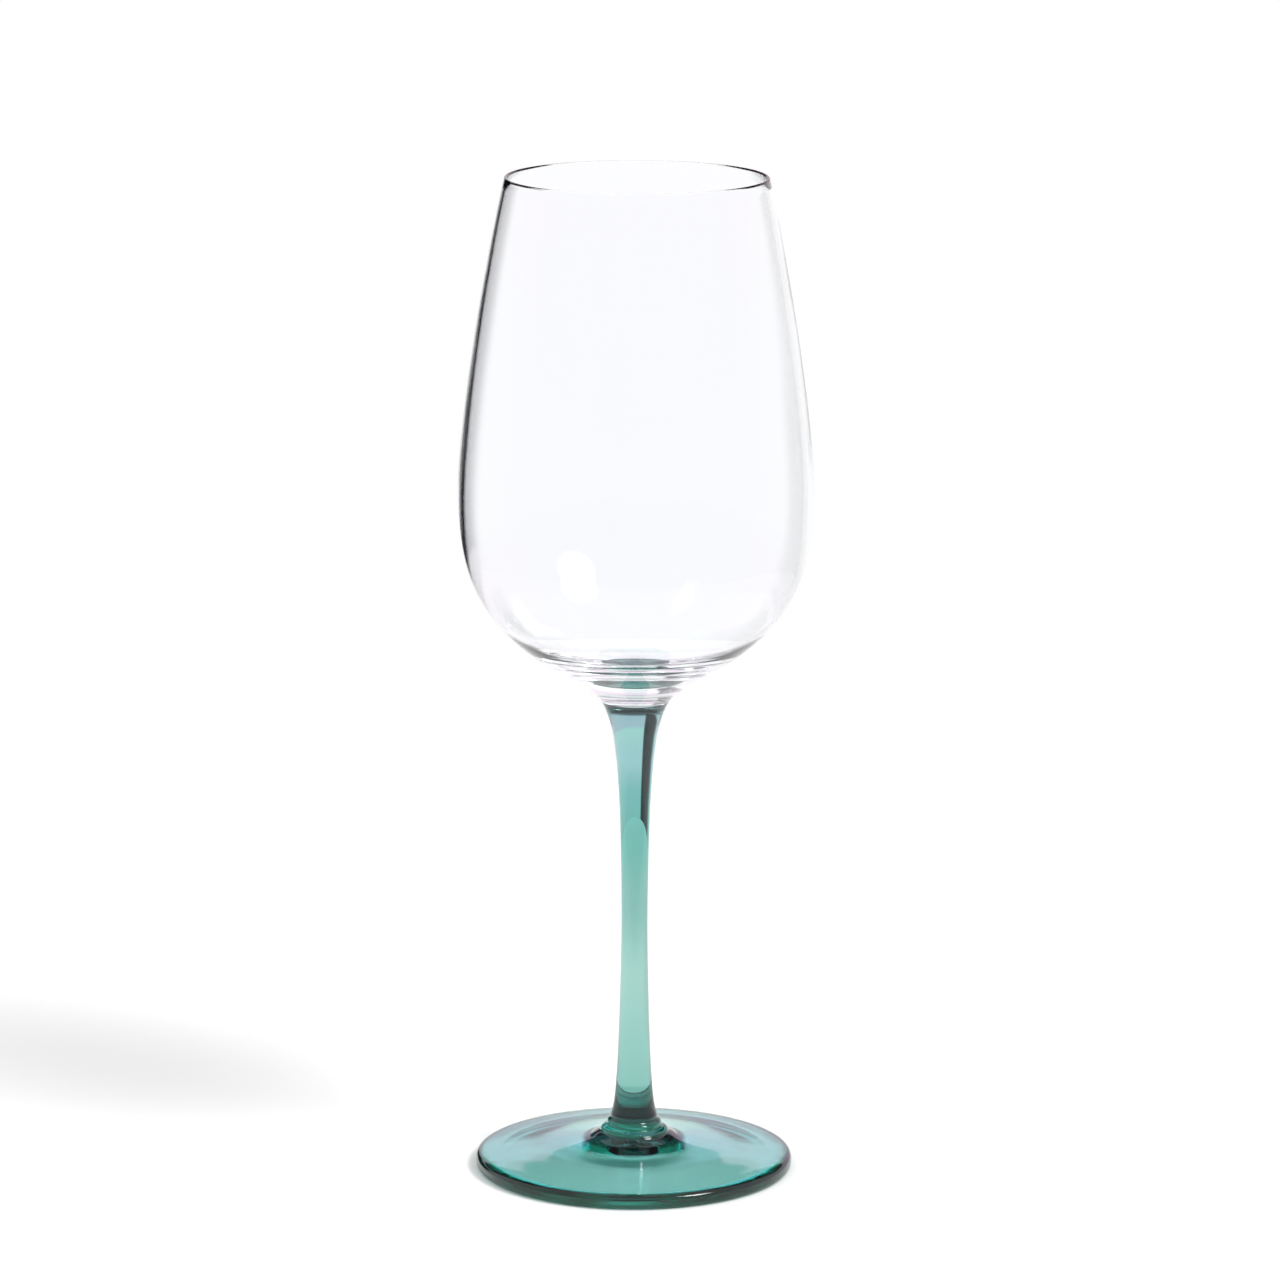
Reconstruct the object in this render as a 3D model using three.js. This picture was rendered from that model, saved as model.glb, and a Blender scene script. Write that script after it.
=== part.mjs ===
// Stemmed wine glass: a clear blown bowl on a green drawn stem and a green pressed foot.
// Millimetres, +Z up. The origin is the centre of the foot, on the surface the glass stands on.
// The three gathers are fused in the real glass; here each is its own solid, JOIN_GAP apart.

import * as THREE from "three";

// overall
const HEIGHT = 230;
const SEGMENTS = 56;
const JOIN_GAP = 0.3;

// bowl, outside
const RIM_RADIUS = 29.85;
const LIP_THICKNESS = 0.8;
const BELLY_RADIUS = 40.4;
const BELLY_HEIGHT = 157;
const SHOULDER_RADIUS = 17.2;
const SHOULDER_HEIGHT = 117;
const SHOULDER_SLOPE = 1.8;

// bowl, inside
const BELLY_WALL = 1.3;
const HIP_RADIUS = 24;
const HIP_HEIGHT = 122.2;
const INNER_FLOOR = 118.2;

// joins
const BOWL_JOIN_HEIGHT = 110;
const BOWL_JOIN_RADIUS = 7.8;
const FOOT_JOIN_HEIGHT = 12.3;
const FOOT_JOIN_RADIUS = 5.4;

// stem
const WAIST_RADIUS = 3.03;
const WAIST_HEIGHT = 58;

// foot
const FOOT_RADIUS = 36.5;
const FOOT_EDGE = 3.4;
const FOOT_EDGE_ROUND = 1.3;
const COLLAR_RADIUS = 10.2;
const COLLAR_HEIGHT = 7;
const REST_INNER = 32;
const REST_OUTER = 35.2;
const HOLLOW_HEIGHT = 3.4;

const point = (radius, height) => new THREE.Vector2(radius, height);

function bezier(start, handleA, handleB, end, steps) {
  return new THREE.CubicBezierCurve(start, handleA, handleB, end).getPoints(steps);
}

// Points of an arc about (radius, height), from one angle to another in degrees.
function arc(radius, height, size, from, to, steps) {
  const points = [];
  for (let i = 0; i <= steps; i++) {
    const angle = THREE.MathUtils.degToRad(from + ((to - from) * i) / steps);
    points.push(point(radius + size * Math.cos(angle), height + size * Math.sin(angle)));
  }
  return points;
}

// Joins runs of points into one profile and drops repeated points.
function chain(...runs) {
  const profile = [];
  for (const next of runs.flat()) {
    const last = profile[profile.length - 1];
    if (!last || last.distanceTo(next) > 0.01) profile.push(next);
  }
  return profile;
}

// A solid turned about +Z. The profile runs up the outside, from the axis to the axis.
function turned(name, profile, material) {
  const geometry = new THREE.LatheGeometry(profile, SEGMENTS);
  geometry.rotateX(Math.PI / 2);
  const mesh = new THREE.Mesh(geometry, material);
  mesh.name = name;
  return mesh;
}

const clearGlass = new THREE.MeshStandardMaterial({
  color: 0xf3f5f8,
  roughness: 0.03,
  metalness: 0,
  transparent: true,
  opacity: 0.3,
});

const greenGlass = new THREE.MeshStandardMaterial({
  color: 0x7cc4b7,
  roughness: 0.03,
  metalness: 0,
  transparent: true,
  opacity: 0.7,
});

function bowlProfile() {
  const bottom = BOWL_JOIN_HEIGHT + JOIN_GAP / 2;
  const lip = LIP_THICKNESS / 2;
  const lipHeight = HEIGHT - lip;
  const innerBelly = BELLY_RADIUS - BELLY_WALL;
  const shoulder = point(SHOULDER_RADIUS, SHOULDER_HEIGHT);

  const neck = bezier(
    point(BOWL_JOIN_RADIUS, bottom),
    point(BOWL_JOIN_RADIUS + 0.8, bottom + 1.3),
    point(SHOULDER_RADIUS - 2.6 * SHOULDER_SLOPE, SHOULDER_HEIGHT - 2.6),
    shoulder,
    5,
  );
  const underside = bezier(
    shoulder,
    point(SHOULDER_RADIUS + 12 * SHOULDER_SLOPE, SHOULDER_HEIGHT + 12),
    point(BELLY_RADIUS, BELLY_HEIGHT - 11.6),
    point(BELLY_RADIUS, BELLY_HEIGHT),
    10,
  );
  const wall = bezier(
    point(BELLY_RADIUS, BELLY_HEIGHT),
    point(BELLY_RADIUS, BELLY_HEIGHT + 15.5),
    point(RIM_RADIUS + 5.3, lipHeight - 24),
    point(RIM_RADIUS, lipHeight),
    9,
  );
  const lipRound = arc(RIM_RADIUS - lip, lipHeight, lip, 0, 180, 4);
  const innerWall = bezier(
    point(RIM_RADIUS - LIP_THICKNESS, lipHeight),
    point(RIM_RADIUS - LIP_THICKNESS + 5.3, lipHeight - 24),
    point(innerBelly, BELLY_HEIGHT + 15.5),
    point(innerBelly, BELLY_HEIGHT),
    8,
  );
  const innerUnderside = bezier(
    point(innerBelly, BELLY_HEIGHT),
    point(innerBelly, BELLY_HEIGHT - 11.2),
    point(innerBelly - 1.8, BELLY_HEIGHT - 27.2),
    point(HIP_RADIUS, HIP_HEIGHT),
    8,
  );
  const floor = bezier(
    point(HIP_RADIUS, HIP_HEIGHT),
    point(HIP_RADIUS - 6, HIP_HEIGHT - 3.4),
    point(HIP_RADIUS / 2, INNER_FLOOR),
    point(0, INNER_FLOOR),
    5,
  );
  return chain(
    [point(0, bottom)],
    neck,
    underside,
    wall,
    lipRound,
    innerWall,
    innerUnderside,
    floor,
  );
}

function stemProfile() {
  const bottom = FOOT_JOIN_HEIGHT + JOIN_GAP / 2;
  const top = BOWL_JOIN_HEIGHT - JOIN_GAP / 2;
  const outline = new THREE.SplineCurve([
    point(FOOT_JOIN_RADIUS, bottom),
    point(4.55, 16),
    point(3.85, 25),
    point(3.35, 39),
    point(WAIST_RADIUS, WAIST_HEIGHT),
    point(3.35, 80),
    point(3.94, 92),
    point(4.74, 100),
    point(5.45, 104),
    point(6.8, 108),
    point(BOWL_JOIN_RADIUS, top),
  ]);
  return chain([point(0, bottom)], outline.getPoints(20), [point(0, top)]);
}

function footProfile() {
  const top = FOOT_JOIN_HEIGHT - JOIN_GAP / 2;
  const round = FOOT_EDGE_ROUND;
  const edgeCentre = FOOT_RADIUS - round;

  const hollow = bezier(
    point(0, HOLLOW_HEIGHT),
    point(9, HOLLOW_HEIGHT),
    point(20, 1.75),
    point(REST_INNER, 0),
    6,
  );
  const rest = [point(REST_OUTER, 0)];
  const lowerRound = arc(edgeCentre, round, round, -90, 0, 3);
  const upperRound = arc(edgeCentre, FOOT_EDGE - round, round, 0, 60, 2);
  const slope = bezier(
    point(edgeCentre - 2.6, FOOT_EDGE + 0.41),
    point(edgeCentre - 10.6, FOOT_EDGE + 1.03),
    point(COLLAR_RADIUS + 5.2, COLLAR_HEIGHT - 1.3),
    point(COLLAR_RADIUS + 0.6, COLLAR_HEIGHT - 0.1),
    6,
  );
  const collar = bezier(
    point(COLLAR_RADIUS, COLLAR_HEIGHT),
    point(COLLAR_RADIUS - 2.2, COLLAR_HEIGHT + 1.3),
    point(FOOT_JOIN_RADIUS + 0.5, COLLAR_HEIGHT + 3.2),
    point(FOOT_JOIN_RADIUS, top),
    6,
  );
  return chain(hollow, rest, lowerRound, upperRound, slope, collar, [point(0, top)]);
}

const wineGlass = new THREE.Group();
wineGlass.add(turned("bowl", bowlProfile(), clearGlass));
wineGlass.add(turned("stem", stemProfile(), greenGlass));
wineGlass.add(turned("foot", footProfile(), greenGlass));

export default wineGlass;
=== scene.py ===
"""Stemmed wine glass: clear bowl, blue-green stem and foot, standing on a white table."""

import math

import bmesh
import bpy
from mathutils import Matrix, Vector


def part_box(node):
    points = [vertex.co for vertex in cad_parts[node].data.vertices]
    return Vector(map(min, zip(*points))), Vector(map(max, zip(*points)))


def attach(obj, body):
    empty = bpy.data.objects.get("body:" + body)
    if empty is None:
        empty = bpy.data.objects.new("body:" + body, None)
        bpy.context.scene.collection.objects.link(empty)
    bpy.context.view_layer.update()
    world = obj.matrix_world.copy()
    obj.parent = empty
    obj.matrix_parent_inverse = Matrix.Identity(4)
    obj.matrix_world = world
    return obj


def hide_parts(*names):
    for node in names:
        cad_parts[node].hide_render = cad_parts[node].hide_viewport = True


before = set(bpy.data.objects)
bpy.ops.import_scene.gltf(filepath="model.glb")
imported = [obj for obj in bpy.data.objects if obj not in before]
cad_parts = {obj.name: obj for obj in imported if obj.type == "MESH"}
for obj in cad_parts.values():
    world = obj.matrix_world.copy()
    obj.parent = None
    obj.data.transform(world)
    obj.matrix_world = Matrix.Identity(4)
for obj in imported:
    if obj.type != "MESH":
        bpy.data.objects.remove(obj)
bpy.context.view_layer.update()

# ---------------------------------------------------------------- dimensions, in millimetres

MM = 0.001
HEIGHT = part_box("bowl")[1][2] / MM
BELLY_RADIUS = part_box("bowl")[1][0] / MM
FOOT_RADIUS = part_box("foot")[1][0] / MM
BOWL_JOIN = (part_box("bowl")[0][2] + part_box("stem")[1][2]) / 2 / MM
FOOT_JOIN = (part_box("stem")[0][2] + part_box("foot")[1][2]) / 2 / MM
SEAM = 0.01  # half the gap between two fused pieces

RIM_RADIUS = 29.85
LIP_THICKNESS = 0.8
BELLY_HEIGHT = 157
BELLY_WALL = 1.3
SHOULDER_RADIUS = 17.2
SHOULDER_HEIGHT = 117
SHOULDER_SLOPE = 1.8
HIP_RADIUS = 24
HIP_HEIGHT = 122.2
INNER_FLOOR = 118.2
BOWL_JOIN_RADIUS = 7.8
FOOT_JOIN_RADIUS = 5.4
WAIST_RADIUS = 3.03
WAIST_HEIGHT = 58
FOOT_EDGE = 3.4
FOOT_EDGE_ROUND = 1.3
COLLAR_RADIUS = 10.2
COLLAR_HEIGHT = 7
REST_INNER = 32
REST_OUTER = 35.2
HOLLOW_HEIGHT = 3.4

GLASS_IOR = 1.52
LIP_BEND = 0.6
LIP_ZONE = 0.9  # how far below the top the lip's own faces reach


# ---------------------------------------------------------------- profiles, as (radius, height)


def bezier(a, b, c, d, steps):
    """A cubic curve from a to d, with b and c as its handles."""
    points = []
    for i in range(steps + 1):
        t = i / steps
        w = ((1 - t) ** 3, 3 * (1 - t) ** 2 * t, 3 * (1 - t) * t * t, t**3)
        points.append(
            tuple(sum(k * p[axis] for k, p in zip(w, (a, b, c, d))) for axis in (0, 1))
        )
    return points


def arc(radius, height, size, start, stop, steps):
    """Part of a circle about (radius, height), from one angle to another in degrees."""
    points = []
    for i in range(steps + 1):
        angle = math.radians(start + (stop - start) * i / steps)
        points.append((radius + size * math.cos(angle), height + size * math.sin(angle)))
    return points


def spline(knots, steps):
    """A Catmull-Rom curve through the knots, with steps points between each two."""
    ends = [knots[0]] + list(knots) + [knots[-1]]
    points = []
    for k in range(len(knots) - 1):
        a, b, c, d = ends[k : k + 4]
        for i in range(steps):
            t = i / steps
            points.append(
                tuple(
                    0.5
                    * (
                        2 * b[n]
                        + (c[n] - a[n]) * t
                        + (2 * a[n] - 5 * b[n] + 4 * c[n] - d[n]) * t * t
                        + (3 * b[n] - a[n] - 3 * c[n] + d[n]) * t**3
                    )
                    for n in (0, 1)
                )
            )
    return points + [knots[-1]]


def chain(*runs):
    """Joins runs of points into one profile and drops repeated points."""
    profile = []
    for run in runs:
        for p in run:
            if not profile or math.dist(profile[-1], p) > 0.004:
                profile.append(p)
    return profile


def bowl_profile():
    bottom = BOWL_JOIN + SEAM
    lip = LIP_THICKNESS / 2
    lip_height = HEIGHT - lip
    inner = BELLY_RADIUS - BELLY_WALL
    shoulder = (SHOULDER_RADIUS, SHOULDER_HEIGHT)
    belly = (BELLY_RADIUS, BELLY_HEIGHT)
    hip = (HIP_RADIUS, HIP_HEIGHT)
    return chain(
        bezier(
            (BOWL_JOIN_RADIUS, bottom),
            (BOWL_JOIN_RADIUS + 0.8, bottom + 1.3),
            (SHOULDER_RADIUS - 2.6 * SHOULDER_SLOPE, SHOULDER_HEIGHT - 2.6),
            shoulder,
            20,
        ),
        bezier(
            shoulder,
            (SHOULDER_RADIUS + 12 * SHOULDER_SLOPE, SHOULDER_HEIGHT + 12),
            (BELLY_RADIUS, BELLY_HEIGHT - 11.6),
            belly,
            40,
        ),
        bezier(
            belly,
            (BELLY_RADIUS, BELLY_HEIGHT + 15.5),
            (RIM_RADIUS + 5.3, lip_height - 24),
            (RIM_RADIUS, lip_height),
            30,
        ),
        arc(RIM_RADIUS - lip, lip_height, lip, 0, 180, 10),
        bezier(
            (RIM_RADIUS - LIP_THICKNESS, lip_height),
            (RIM_RADIUS - LIP_THICKNESS + 5.3, lip_height - 24),
            (inner, BELLY_HEIGHT + 15.5),
            (inner, BELLY_HEIGHT),
            30,
        ),
        bezier(
            (inner, BELLY_HEIGHT),
            (inner, BELLY_HEIGHT - 11.2),
            (inner - 1.8, BELLY_HEIGHT - 27.2),
            hip,
            40,
        ),
        bezier(
            hip,
            (HIP_RADIUS - 6, HIP_HEIGHT - 3.4),
            (HIP_RADIUS / 2, INNER_FLOOR),
            (0, INNER_FLOOR),
            30,
        ),
    )


def stem_profile():
    return chain(
        spline(
            [
                (FOOT_JOIN_RADIUS, FOOT_JOIN + SEAM),
                (4.55, 16),
                (3.85, 25),
                (3.35, 39),
                (WAIST_RADIUS, WAIST_HEIGHT),
                (3.35, 80),
                (3.94, 92),
                (4.74, 100),
                (5.45, 104),
                (6.8, 108),
                (BOWL_JOIN_RADIUS, BOWL_JOIN - SEAM),
            ],
            9,
        )
    )


def foot_profile():
    top = FOOT_JOIN - SEAM
    edge = FOOT_RADIUS - FOOT_EDGE_ROUND
    return chain(
        bezier((0, HOLLOW_HEIGHT), (9, HOLLOW_HEIGHT), (20, 1.75), (REST_INNER, 0), 24),
        [(REST_OUTER, 0)],
        arc(edge, FOOT_EDGE_ROUND, FOOT_EDGE_ROUND, -90, 0, 10),
        arc(edge, FOOT_EDGE - FOOT_EDGE_ROUND, FOOT_EDGE_ROUND, 0, 60, 8),
        bezier(
            (edge + 0.6, FOOT_EDGE - 0.15),
            (edge + 0.2, FOOT_EDGE + 0.06),
            (edge - 0.7, FOOT_EDGE + 0.2),
            (edge - 2.6, FOOT_EDGE + 0.41),
            8,
        ),
        bezier(
            (edge - 2.6, FOOT_EDGE + 0.41),
            (edge - 10.6, FOOT_EDGE + 1.03),
            (COLLAR_RADIUS + 5.2, COLLAR_HEIGHT - 1.3),
            (COLLAR_RADIUS + 0.6, COLLAR_HEIGHT - 0.1),
            30,
        ),
        bezier(
            (COLLAR_RADIUS, COLLAR_HEIGHT),
            (COLLAR_RADIUS - 2.2, COLLAR_HEIGHT + 1.3),
            (FOOT_JOIN_RADIUS + 0.5, COLLAR_HEIGHT + 3.2),
            (FOOT_JOIN_RADIUS, top),
            24,
        ),
    )


# ---------------------------------------------------------------- meshes


def turned(name, profile, segments, caps=(), wobble=None, fine_above=None):
    """A closed solid turned about Z. caps names the ends that are a flat join to another piece.

    The face attribute "wall" is how strongly a face bends light: 1 for glass, 0 for a join, and
    LIP_BEND above the height fine_above, where the lip would otherwise read as a black ring.
    """
    bm = bmesh.new()
    wall = bm.faces.layers.float.new("wall")
    rings = []
    for radius, height in profile:
        if radius < 1e-6:
            rings.append([bm.verts.new((0, 0, height * MM))])
            continue
        ring = []
        for s in range(segments):
            angle = 2 * math.pi * s / segments
            r, z = (radius, height) if wobble is None else wobble(radius, height, angle)
            ring.append(
                bm.verts.new((r * MM * math.sin(angle), -r * MM * math.cos(angle), z * MM))
            )
        rings.append(ring)
    for low, high in zip(rings, rings[1:]):
        for s in range(segments):
            t = (s + 1) % segments
            if len(low) == 1:
                face = bm.faces.new((low[0], high[t], high[s]))
            elif len(high) == 1:
                face = bm.faces.new((low[s], low[t], high[0]))
            else:
                face = bm.faces.new((low[s], low[t], high[t], high[s]))
            face.smooth = True
            high_up = fine_above is not None and min(v.co.z for v in face.verts) > fine_above * MM
            face[wall] = LIP_BEND if high_up else 1
    for end in caps:
        ring = rings[0] if end == "bottom" else rings[-1]
        centre = bm.verts.new((0, 0, sum(v.co.z for v in ring) / segments))
        for s in range(segments):
            t = (s + 1) % segments
            pair = (ring[t], ring[s]) if end == "bottom" else (ring[s], ring[t])
            face = bm.faces.new((centre, *pair))
            face[wall] = 0
            bm.edges.get(pair).smooth = False
    bm.normal_update()
    mesh = bpy.data.meshes.new(name)
    bm.to_mesh(mesh)
    bm.free()
    piece = bpy.data.objects.new(name, mesh)
    bpy.context.scene.collection.objects.link(piece)
    return piece


# ---------------------------------------------------------------- materials


class Tree:
    """A material's node tree, with short ways to add and join nodes."""

    def __init__(self, material):
        material.use_nodes = True
        self.tree = material.node_tree
        self.shader = self.tree.nodes["Principled BSDF"]
        self.output = self.tree.nodes["Material Output"]

    def node(self, kind, **inputs):
        node = self.tree.nodes.new(kind)
        for key, value in inputs.items():
            node.inputs[key.replace("_", " ")].default_value = value
        return node

    def link(self, source, target):
        self.tree.links.new(source, target)


def glass(name, tint_and_painted_shade, absorb, density, ripple, along, edge=None):
    """Polished glass, tinted at its surface by height, with painted shade in that tint, and
    coloured in its depth.

    The height tint is (height in mm, colour) pairs and also holds painted shade where the glass
    refracts dark, absorb and density colour the inside, ripple is the strength of the fine waves
    and along is how much longer they are up the piece than around it.
    edge is (start radius in mm, end radius, colour), painted shade towards the rim of a disc that
    stands in for the dark refraction there.
    """
    material = bpy.data.materials.new(name)
    t = Tree(material)
    shader = t.shader
    shader.inputs["Transmission Weight"].default_value = 1
    shader.inputs["Specular IOR Level"].default_value = 0.5

    place = t.node("ShaderNodeTexCoord").outputs["Object"]
    stretch = t.node("ShaderNodeMapping")
    stretch.inputs["Scale"].default_value = (1, 1, 1 / along)
    t.link(place, stretch.inputs["Vector"])

    # long shallow waves left by the tools
    waves = t.node("ShaderNodeTexNoise", Scale=130.0, Detail=1.5, Roughness=0.4)
    t.link(stretch.outputs[0], waves.inputs["Vector"])
    bump = t.node("ShaderNodeBump", Strength=ripple, Distance=0.0003)
    t.link(waves.outputs["Fac"], bump.inputs["Height"])
    t.link(bump.outputs[0], shader.inputs["Normal"])

    # a breath of handling haze
    haze = t.node("ShaderNodeTexNoise", Scale=60.0, Detail=3.0)
    t.link(place, haze.inputs["Vector"])
    haze_range = t.node("ShaderNodeMapRange")
    haze_range.inputs["From Min"].default_value = 0.45
    haze_range.inputs["From Max"].default_value = 0.75
    haze_range.inputs["To Min"].default_value = 0.0
    haze_range.inputs["To Max"].default_value = 0.012
    t.link(haze.outputs["Fac"], haze_range.inputs["Value"])
    t.link(haze_range.outputs[0], shader.inputs["Roughness"])

    # tint by height, which also paints shade: dark bands at the joins and the collar stand in for
    # dark refractions
    split = t.node("ShaderNodeSeparateXYZ")
    t.link(place, split.inputs[0])
    rise = t.node("ShaderNodeMapRange")
    rise.inputs["From Min"].default_value = tint_and_painted_shade[0][0] * MM
    rise.inputs["From Max"].default_value = tint_and_painted_shade[-1][0] * MM
    t.link(split.outputs["Z"], rise.inputs["Value"])
    ramp = t.node("ShaderNodeValToRGB")
    ramp.color_ramp.interpolation = "EASE"
    span = tint_and_painted_shade[-1][0] - tint_and_painted_shade[0][0]
    while len(ramp.color_ramp.elements) < len(tint_and_painted_shade):
        ramp.color_ramp.elements.new(0.5)
    for element, (height, _) in zip(ramp.color_ramp.elements, tint_and_painted_shade):
        element.position = (height - tint_and_painted_shade[0][0]) / span
    for element, (_, colour) in zip(ramp.color_ramp.elements, tint_and_painted_shade):
        element.color = (*colour, 1)
    t.link(rise.outputs[0], ramp.inputs[0])
    colour = ramp.outputs[0]

    # and painted shade out at the edge, standing in for the dark refraction at the rim
    if edge:
        flat = t.node("ShaderNodeVectorMath")
        flat.operation = "MULTIPLY"
        flat.inputs[1].default_value = (1, 1, 0)
        t.link(place, flat.inputs[0])
        reach = t.node("ShaderNodeVectorMath")
        reach.operation = "LENGTH"
        t.link(flat.outputs[0], reach.inputs[0])
        rim_shade_mask = t.node("ShaderNodeMapRange")
        rim_shade_mask.inputs["From Min"].default_value = edge[0] * MM
        rim_shade_mask.inputs["From Max"].default_value = edge[1] * MM
        t.link(reach.outputs["Value"], rim_shade_mask.inputs["Value"])
        rim_shade = t.node("ShaderNodeMix")
        rim_shade.data_type = "RGBA"
        t.link(rim_shade_mask.outputs[0], rim_shade.inputs[0])
        t.link(colour, rim_shade.inputs[6])
        rim_shade.inputs[7].default_value = (*edge[2], 1)
        colour = rim_shade.outputs[2]
    t.link(colour, shader.inputs["Base Color"])

    # the faces of a fused join bend nothing
    wall = t.node("ShaderNodeAttribute")
    wall.attribute_name = "wall"
    bend = t.node("ShaderNodeMapRange")
    bend.inputs["To Min"].default_value = 1.0
    bend.inputs["To Max"].default_value = GLASS_IOR
    t.link(wall.outputs["Fac"], bend.inputs["Value"])
    t.link(bend.outputs[0], shader.inputs["IOR"])

    volume = t.node("ShaderNodeVolumeAbsorption", Color=(*absorb, 1), Density=density)
    t.link(volume.outputs[0], t.output.inputs["Volume"])
    return material


WHITE = (1.0, 1.0, 1.0)
FOOT_JOIN_PAINTED_SHADE = (0.10, 0.16, 0.15)  # painted shade: a dark ring where the stem is fused to the foot, standing in for the dark refraction there
BOWL_JOIN_PAINTED_SHADE = (0.07, 0.11, 0.11)  # and painted shade where it is fused to the bowl
# painted shade: dark bands up the foot's collar, with a lighter green band between them, standing
# in for the dark refractions in the thick collar glass
COLLAR_PAINTED_SHADE = (0.05, 0.08, 0.08)
COLLAR_BAND = (0.45, 0.58, 0.56)
COLLAR_TOP_PAINTED_SHADE = (0.06, 0.09, 0.09)

clear_glass = glass(
    "clear_glass",
    tint_and_painted_shade=[(110, (0.98, 0.99, 1.0)), (230, (0.985, 0.985, 1.0))],
    absorb=(0.90, 0.97, 0.95),
    density=12.0,
    ripple=0.05,
    along=3.0,
)
green_stem = glass(
    "green_stem",
    # the tint is lighter and darker by height along the stem, with painted shade at both joins
    tint_and_painted_shade=[
        (12.3, FOOT_JOIN_PAINTED_SHADE),
        (12.9, FOOT_JOIN_PAINTED_SHADE),
        (13.3, (0.14, 0.40, 0.36)),
        (17.6, (0.16, 0.42, 0.38)),
        (18.3, (0.38, 0.61, 0.56)),
        (25, (0.40, 0.62, 0.57)),
        (44, (0.48, 0.66, 0.61)),
        (63, (0.31, 0.53, 0.49)),
        (77, (0.23, 0.52, 0.47)),
        (87, (0.29, 0.59, 0.58)),
        (98, (0.57, 0.74, 0.78)),
        (107.6, (0.72, 0.92, 0.86)),
        (108.3, BOWL_JOIN_PAINTED_SHADE),
        (110, BOWL_JOIN_PAINTED_SHADE),
    ],
    absorb=(0.0, 0.62, 0.56),
    density=70.0,
    ripple=0.08,
    along=8.0,
)
green_foot = glass(
    "green_foot",
    # the tint is white low down, with painted shade in dark bands up the collar and a lighter
    # band between them
    tint_and_painted_shade=[
        (0, WHITE),
        (6.5, WHITE),
        (6.8, COLLAR_PAINTED_SHADE),
        (8.5, COLLAR_PAINTED_SHADE),
        (8.9, COLLAR_BAND),
        (11.0, COLLAR_BAND),
        (11.4, COLLAR_TOP_PAINTED_SHADE),
        (12.3, COLLAR_TOP_PAINTED_SHADE),
    ],
    # painted shade towards the foot's rim, standing in for the dark refraction at its edge
    edge=(34.8, 35.7, (0.14, 0.18, 0.18)),
    absorb=(0.0, 0.90, 0.83),
    density=112.0,
    ripple=0.12,
    along=1.0,
)

# ---------------------------------------------------------------- the glass


def collar_rings(radius, height, angle):
    """Uneven rings that shaping left in the collar, and slow waves in the foot's upper face."""
    if COLLAR_HEIGHT - 0.1 < height < FOOT_JOIN - 0.2 and radius < COLLAR_RADIUS + 0.1:
        t = (height - COLLAR_HEIGHT) / (FOOT_JOIN - COLLAR_HEIGHT)
        fade = math.sin(math.pi * min(max(t, 0), 1))
        turn = t * 3.0 + 0.16 * math.sin(angle + 0.7) + 0.07 * math.sin(3 * angle)
        return radius + 0.28 * fade * math.sin(2 * math.pi * turn), height
    if COLLAR_RADIUS + 1 < radius < FOOT_RADIUS - 3 and height > 2.5:
        t = (radius - COLLAR_RADIUS - 1) / (FOOT_RADIUS - COLLAR_RADIUS - 4)
        fade = math.sin(math.pi * t) ** 2
        wave = math.sin(2 * math.pi * (1.6 * t + 0.12 * math.sin(angle + 2.2)))
        return radius, height + 0.06 * fade * wave
    return radius, height


bowl = turned("clear_bowl", bowl_profile(), 192, caps=("bottom",), fine_above=HEIGHT - LIP_ZONE)
stem = turned("green_stem", stem_profile(), 128, caps=("bottom", "top"))
foot = turned("green_foot", foot_profile(), 192, caps=("top",), wobble=collar_rings)

for piece, node, slot, material in (
    (bowl, "bowl", "clear_glass", clear_glass),
    (stem, "stem", "green_glass", green_stem),
    (foot, "foot", "green_glass", green_foot),
):
    piece.data.materials.append(material)
    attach(piece, "root")
    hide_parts(node)

# ---------------------------------------------------------------- table, studio and camera

TABLE_RADIUS = 0.32
TABLE_SHIFT = 0.1  # how far behind the glass the middle of the table is
TABLE_DROP = 0.00002  # keeps the table's face just clear of the foot's


def table():
    """A plain white round table top that takes the shadow."""
    bm = bmesh.new()
    bmesh.ops.create_circle(bm, cap_ends=True, segments=96, radius=TABLE_RADIUS)
    for v in bm.verts:
        v.co += Vector((0, TABLE_SHIFT, -TABLE_DROP))
    mesh = bpy.data.meshes.new("table")
    bm.to_mesh(mesh)
    bm.free()
    board = bpy.data.objects.new("table", mesh)
    bpy.context.scene.collection.objects.link(board)
    paint = bpy.data.materials.new("table_white")
    t = Tree(paint)
    t.shader.inputs["Base Color"].default_value = (0.86, 0.86, 0.86, 1)
    t.shader.inputs["Roughness"].default_value = 1.0
    t.shader.inputs["Specular IOR Level"].default_value = 0.0
    mesh.materials.append(paint)


table()


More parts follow.
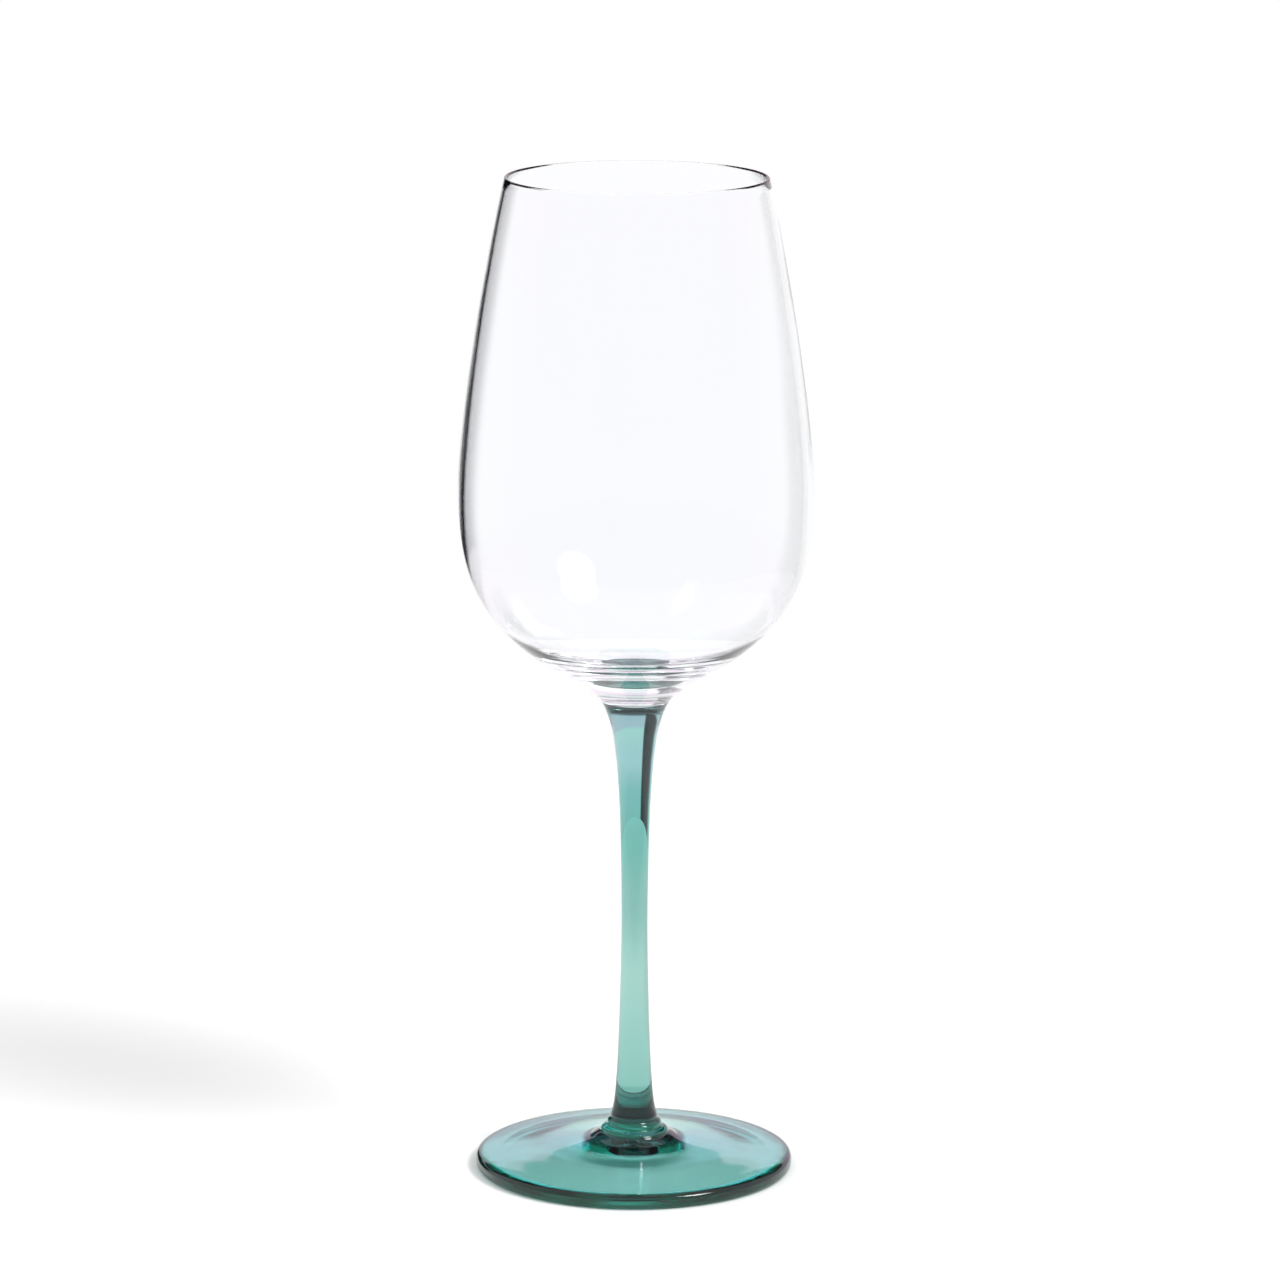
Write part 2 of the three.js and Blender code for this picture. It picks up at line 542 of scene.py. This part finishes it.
def softbox(name, azimuth, elevation, distance, width, power):
    """A round light that fades to its edge, aimed at the middle of the glass.

    Azimuth 0 is behind the glass and 90 to its right, in degrees.
    """
    data = bpy.data.lights.new(name, "AREA")
    data.shape = "DISK"
    data.size = width
    data.energy = power
    data.use_nodes = True
    nodes, links = data.node_tree.nodes, data.node_tree.links
    place = nodes.new("ShaderNodeNewGeometry").outputs["Parametric"]
    centred = nodes.new("ShaderNodeVectorMath")
    centred.operation = "DISTANCE"
    centred.inputs[1].default_value = (0.5, 0.5, 0)
    links.new(place, centred.inputs[0])
    fade = nodes.new("ShaderNodeMapRange")
    fade.interpolation_type = "SMOOTHSTEP"
    fade.inputs["From Min"].default_value = 0.5
    fade.inputs["From Max"].default_value = 0.0
    fade.inputs["To Max"].default_value = 3.0
    links.new(centred.outputs["Value"], fade.inputs["Value"])
    links.new(fade.outputs[0], nodes["Emission"].inputs["Strength"])
    lamp = bpy.data.objects.new(name, data)
    a, e = math.radians(azimuth), math.radians(elevation)
    away = Vector((math.sin(a) * math.cos(e), math.cos(a) * math.cos(e), math.sin(e)))
    target = Vector((0, 0, 0.1))
    lamp.location = target + away * distance
    lamp.rotation_euler = away.to_track_quat("Z", "Y").to_euler()
    lamp.visible_camera = False
    bpy.context.scene.collection.objects.link(lamp)
    return lamp


softbox("key", 123.3, 46, 2.5, 1.2, 40)


# The room round the glass, by direction. Heights are sines of the angle above the horizon, and
# azimuths are in radians from straight behind the glass, positive to its right.
SWEEP_TINT = (1.0, 0.76, 0.95)  # the backdrop above the horizon
HORIZON = (0.06, 0.14)
WALL_TINT = (0.08, 0.08, 0.09)  # a dark wall above the backdrop, behind the glass
WALL_FOOT = 0.38
WALL_REACH = 0.8
CEILING_TINT = (0.8, 0.8, 0.8)
CEILING = 0.75
ROOM_TINT = (0.80, 0.80, 0.86)  # the room on the camera's side
ROOM_EDGE = (0.25, -0.35)
CARD_TINT = (0.02, 0.02, 0.025)  # a black card at the left, which darkens one side of the glass
CARD_LEFT = (-1.05, -0.75)
CARD_RIGHT = (-0.24, -0.30)
CARD_FOOT = (-0.30, -0.26)
CARD_TOP = (0.34, 0.28)
TABLE_LINE = (0.06, -0.02)


def studio():
    """Lights the scene by direction, and shows plain white wherever the glass isn't in the way.

    Light that falls on the table is even. Only the glass sees the backdrop, the dark wall, the
    ceiling, the room and the card, and looking down through it there is white table all round.
    """
    world = bpy.data.worlds.new("studio")
    bpy.context.scene.world = world
    world.use_nodes = True
    tree = world.node_tree
    nodes, links = tree.nodes, tree.links
    nodes.clear()

    def math_node(operation, a, b=None):
        n = nodes.new("ShaderNodeMath")
        n.operation = operation
        for socket, value in zip(n.inputs, (a, b)):
            if isinstance(value, (int, float)):
                socket.default_value = value
            elif value is not None:
                links.new(value, socket)
        return n.outputs[0]

    def step(value, low, high):
        n = nodes.new("ShaderNodeMapRange")
        n.interpolation_type = "SMOOTHSTEP"
        n.inputs["From Min"].default_value = low
        n.inputs["From Max"].default_value = high
        links.new(value, n.inputs["Value"])
        return n.outputs[0]

    def mix(factor, a, b):
        n = nodes.new("ShaderNodeMix")
        n.data_type = "RGBA"
        links.new(factor, n.inputs[0])
        for socket, value in ((n.inputs[6], a), (n.inputs[7], b)):
            if isinstance(value, tuple):
                socket.default_value = (*value, 1)
            else:
                links.new(value, socket)
        return n.outputs[2]

    direction = nodes.new("ShaderNodeTexCoord").outputs["Generated"]
    split = nodes.new("ShaderNodeSeparateXYZ")
    links.new(direction, split.inputs[0])
    x, y, z = split.outputs
    azimuth = math_node("ARCTAN2", x, y)

    path = nodes.new("ShaderNodeLightPath").outputs
    backdrop = mix(step(z, *HORIZON), WHITE, SWEEP_TINT)
    behind = step(math_node("ABSOLUTE", azimuth), WALL_REACH + 0.05, WALL_REACH - 0.05)
    wall = math_node("MULTIPLY", behind, step(z, WALL_FOOT - 0.01, WALL_FOOT + 0.01))
    upper = mix(wall, backdrop, WALL_TINT)
    above = mix(step(z, CEILING - 0.08, CEILING + 0.08), upper, CEILING_TINT)
    down = math_node("MULTIPLY", path["Is Transmission Ray"], step(z, *TABLE_LINE))
    front = math_node("MULTIPLY", step(y, *ROOM_EDGE), math_node("SUBTRACT", 1.0, down))
    room = mix(front, above, ROOM_TINT)
    beside = math_node("MULTIPLY", step(azimuth, *CARD_LEFT), step(azimuth, *CARD_RIGHT))
    level = math_node("MULTIPLY", step(z, *CARD_FOOT), step(z, *CARD_TOP))
    carded = mix(math_node("MULTIPLY", beside, level), room, CARD_TINT)

    on_table = math_node("MINIMUM", path["Diffuse Depth"], 1.0)
    even = mix(on_table, carded, WHITE)
    colour = mix(path["Is Camera Ray"], even, WHITE)
    back = nodes.new("ShaderNodeBackground")
    links.new(colour, back.inputs["Color"])
    out = nodes.new("ShaderNodeOutputWorld")
    links.new(back.outputs[0], out.inputs[0])


studio()


CAMERA_PLACE = (0.00103, -1.32943, 0.400744)
CAMERA_DOWN = 11.757
CAMERA_ROLL = 0.2
LENS = 167.86


def camera():
    """A long lens that looks slightly down at the whole glass. Angles are in degrees."""
    data = bpy.data.cameras.new("camera")
    data.sensor_width = 36
    data.lens = LENS
    data.clip_start = 0.05
    data.clip_end = 50
    eye = bpy.data.objects.new("camera", data)
    down = math.radians(CAMERA_DOWN)
    roll = math.radians(CAMERA_ROLL)
    turn = Matrix.Rotation(math.pi / 2 - down, 4, "X") @ Matrix.Rotation(roll, 4, "Z")
    eye.matrix_world = Matrix.Translation(CAMERA_PLACE) @ turn
    bpy.context.scene.collection.objects.link(eye)
    bpy.context.scene.camera = eye


camera()

scene = bpy.context.scene
scene.view_settings.view_transform = "Standard"
scene.view_settings.look = "None"
scene.cycles.max_bounces = 128
scene.cycles.transmission_bounces = 128
scene.cycles.glossy_bounces = 12
scene.cycles.diffuse_bounces = 4
scene.cycles.sample_clamp_indirect = 0.0
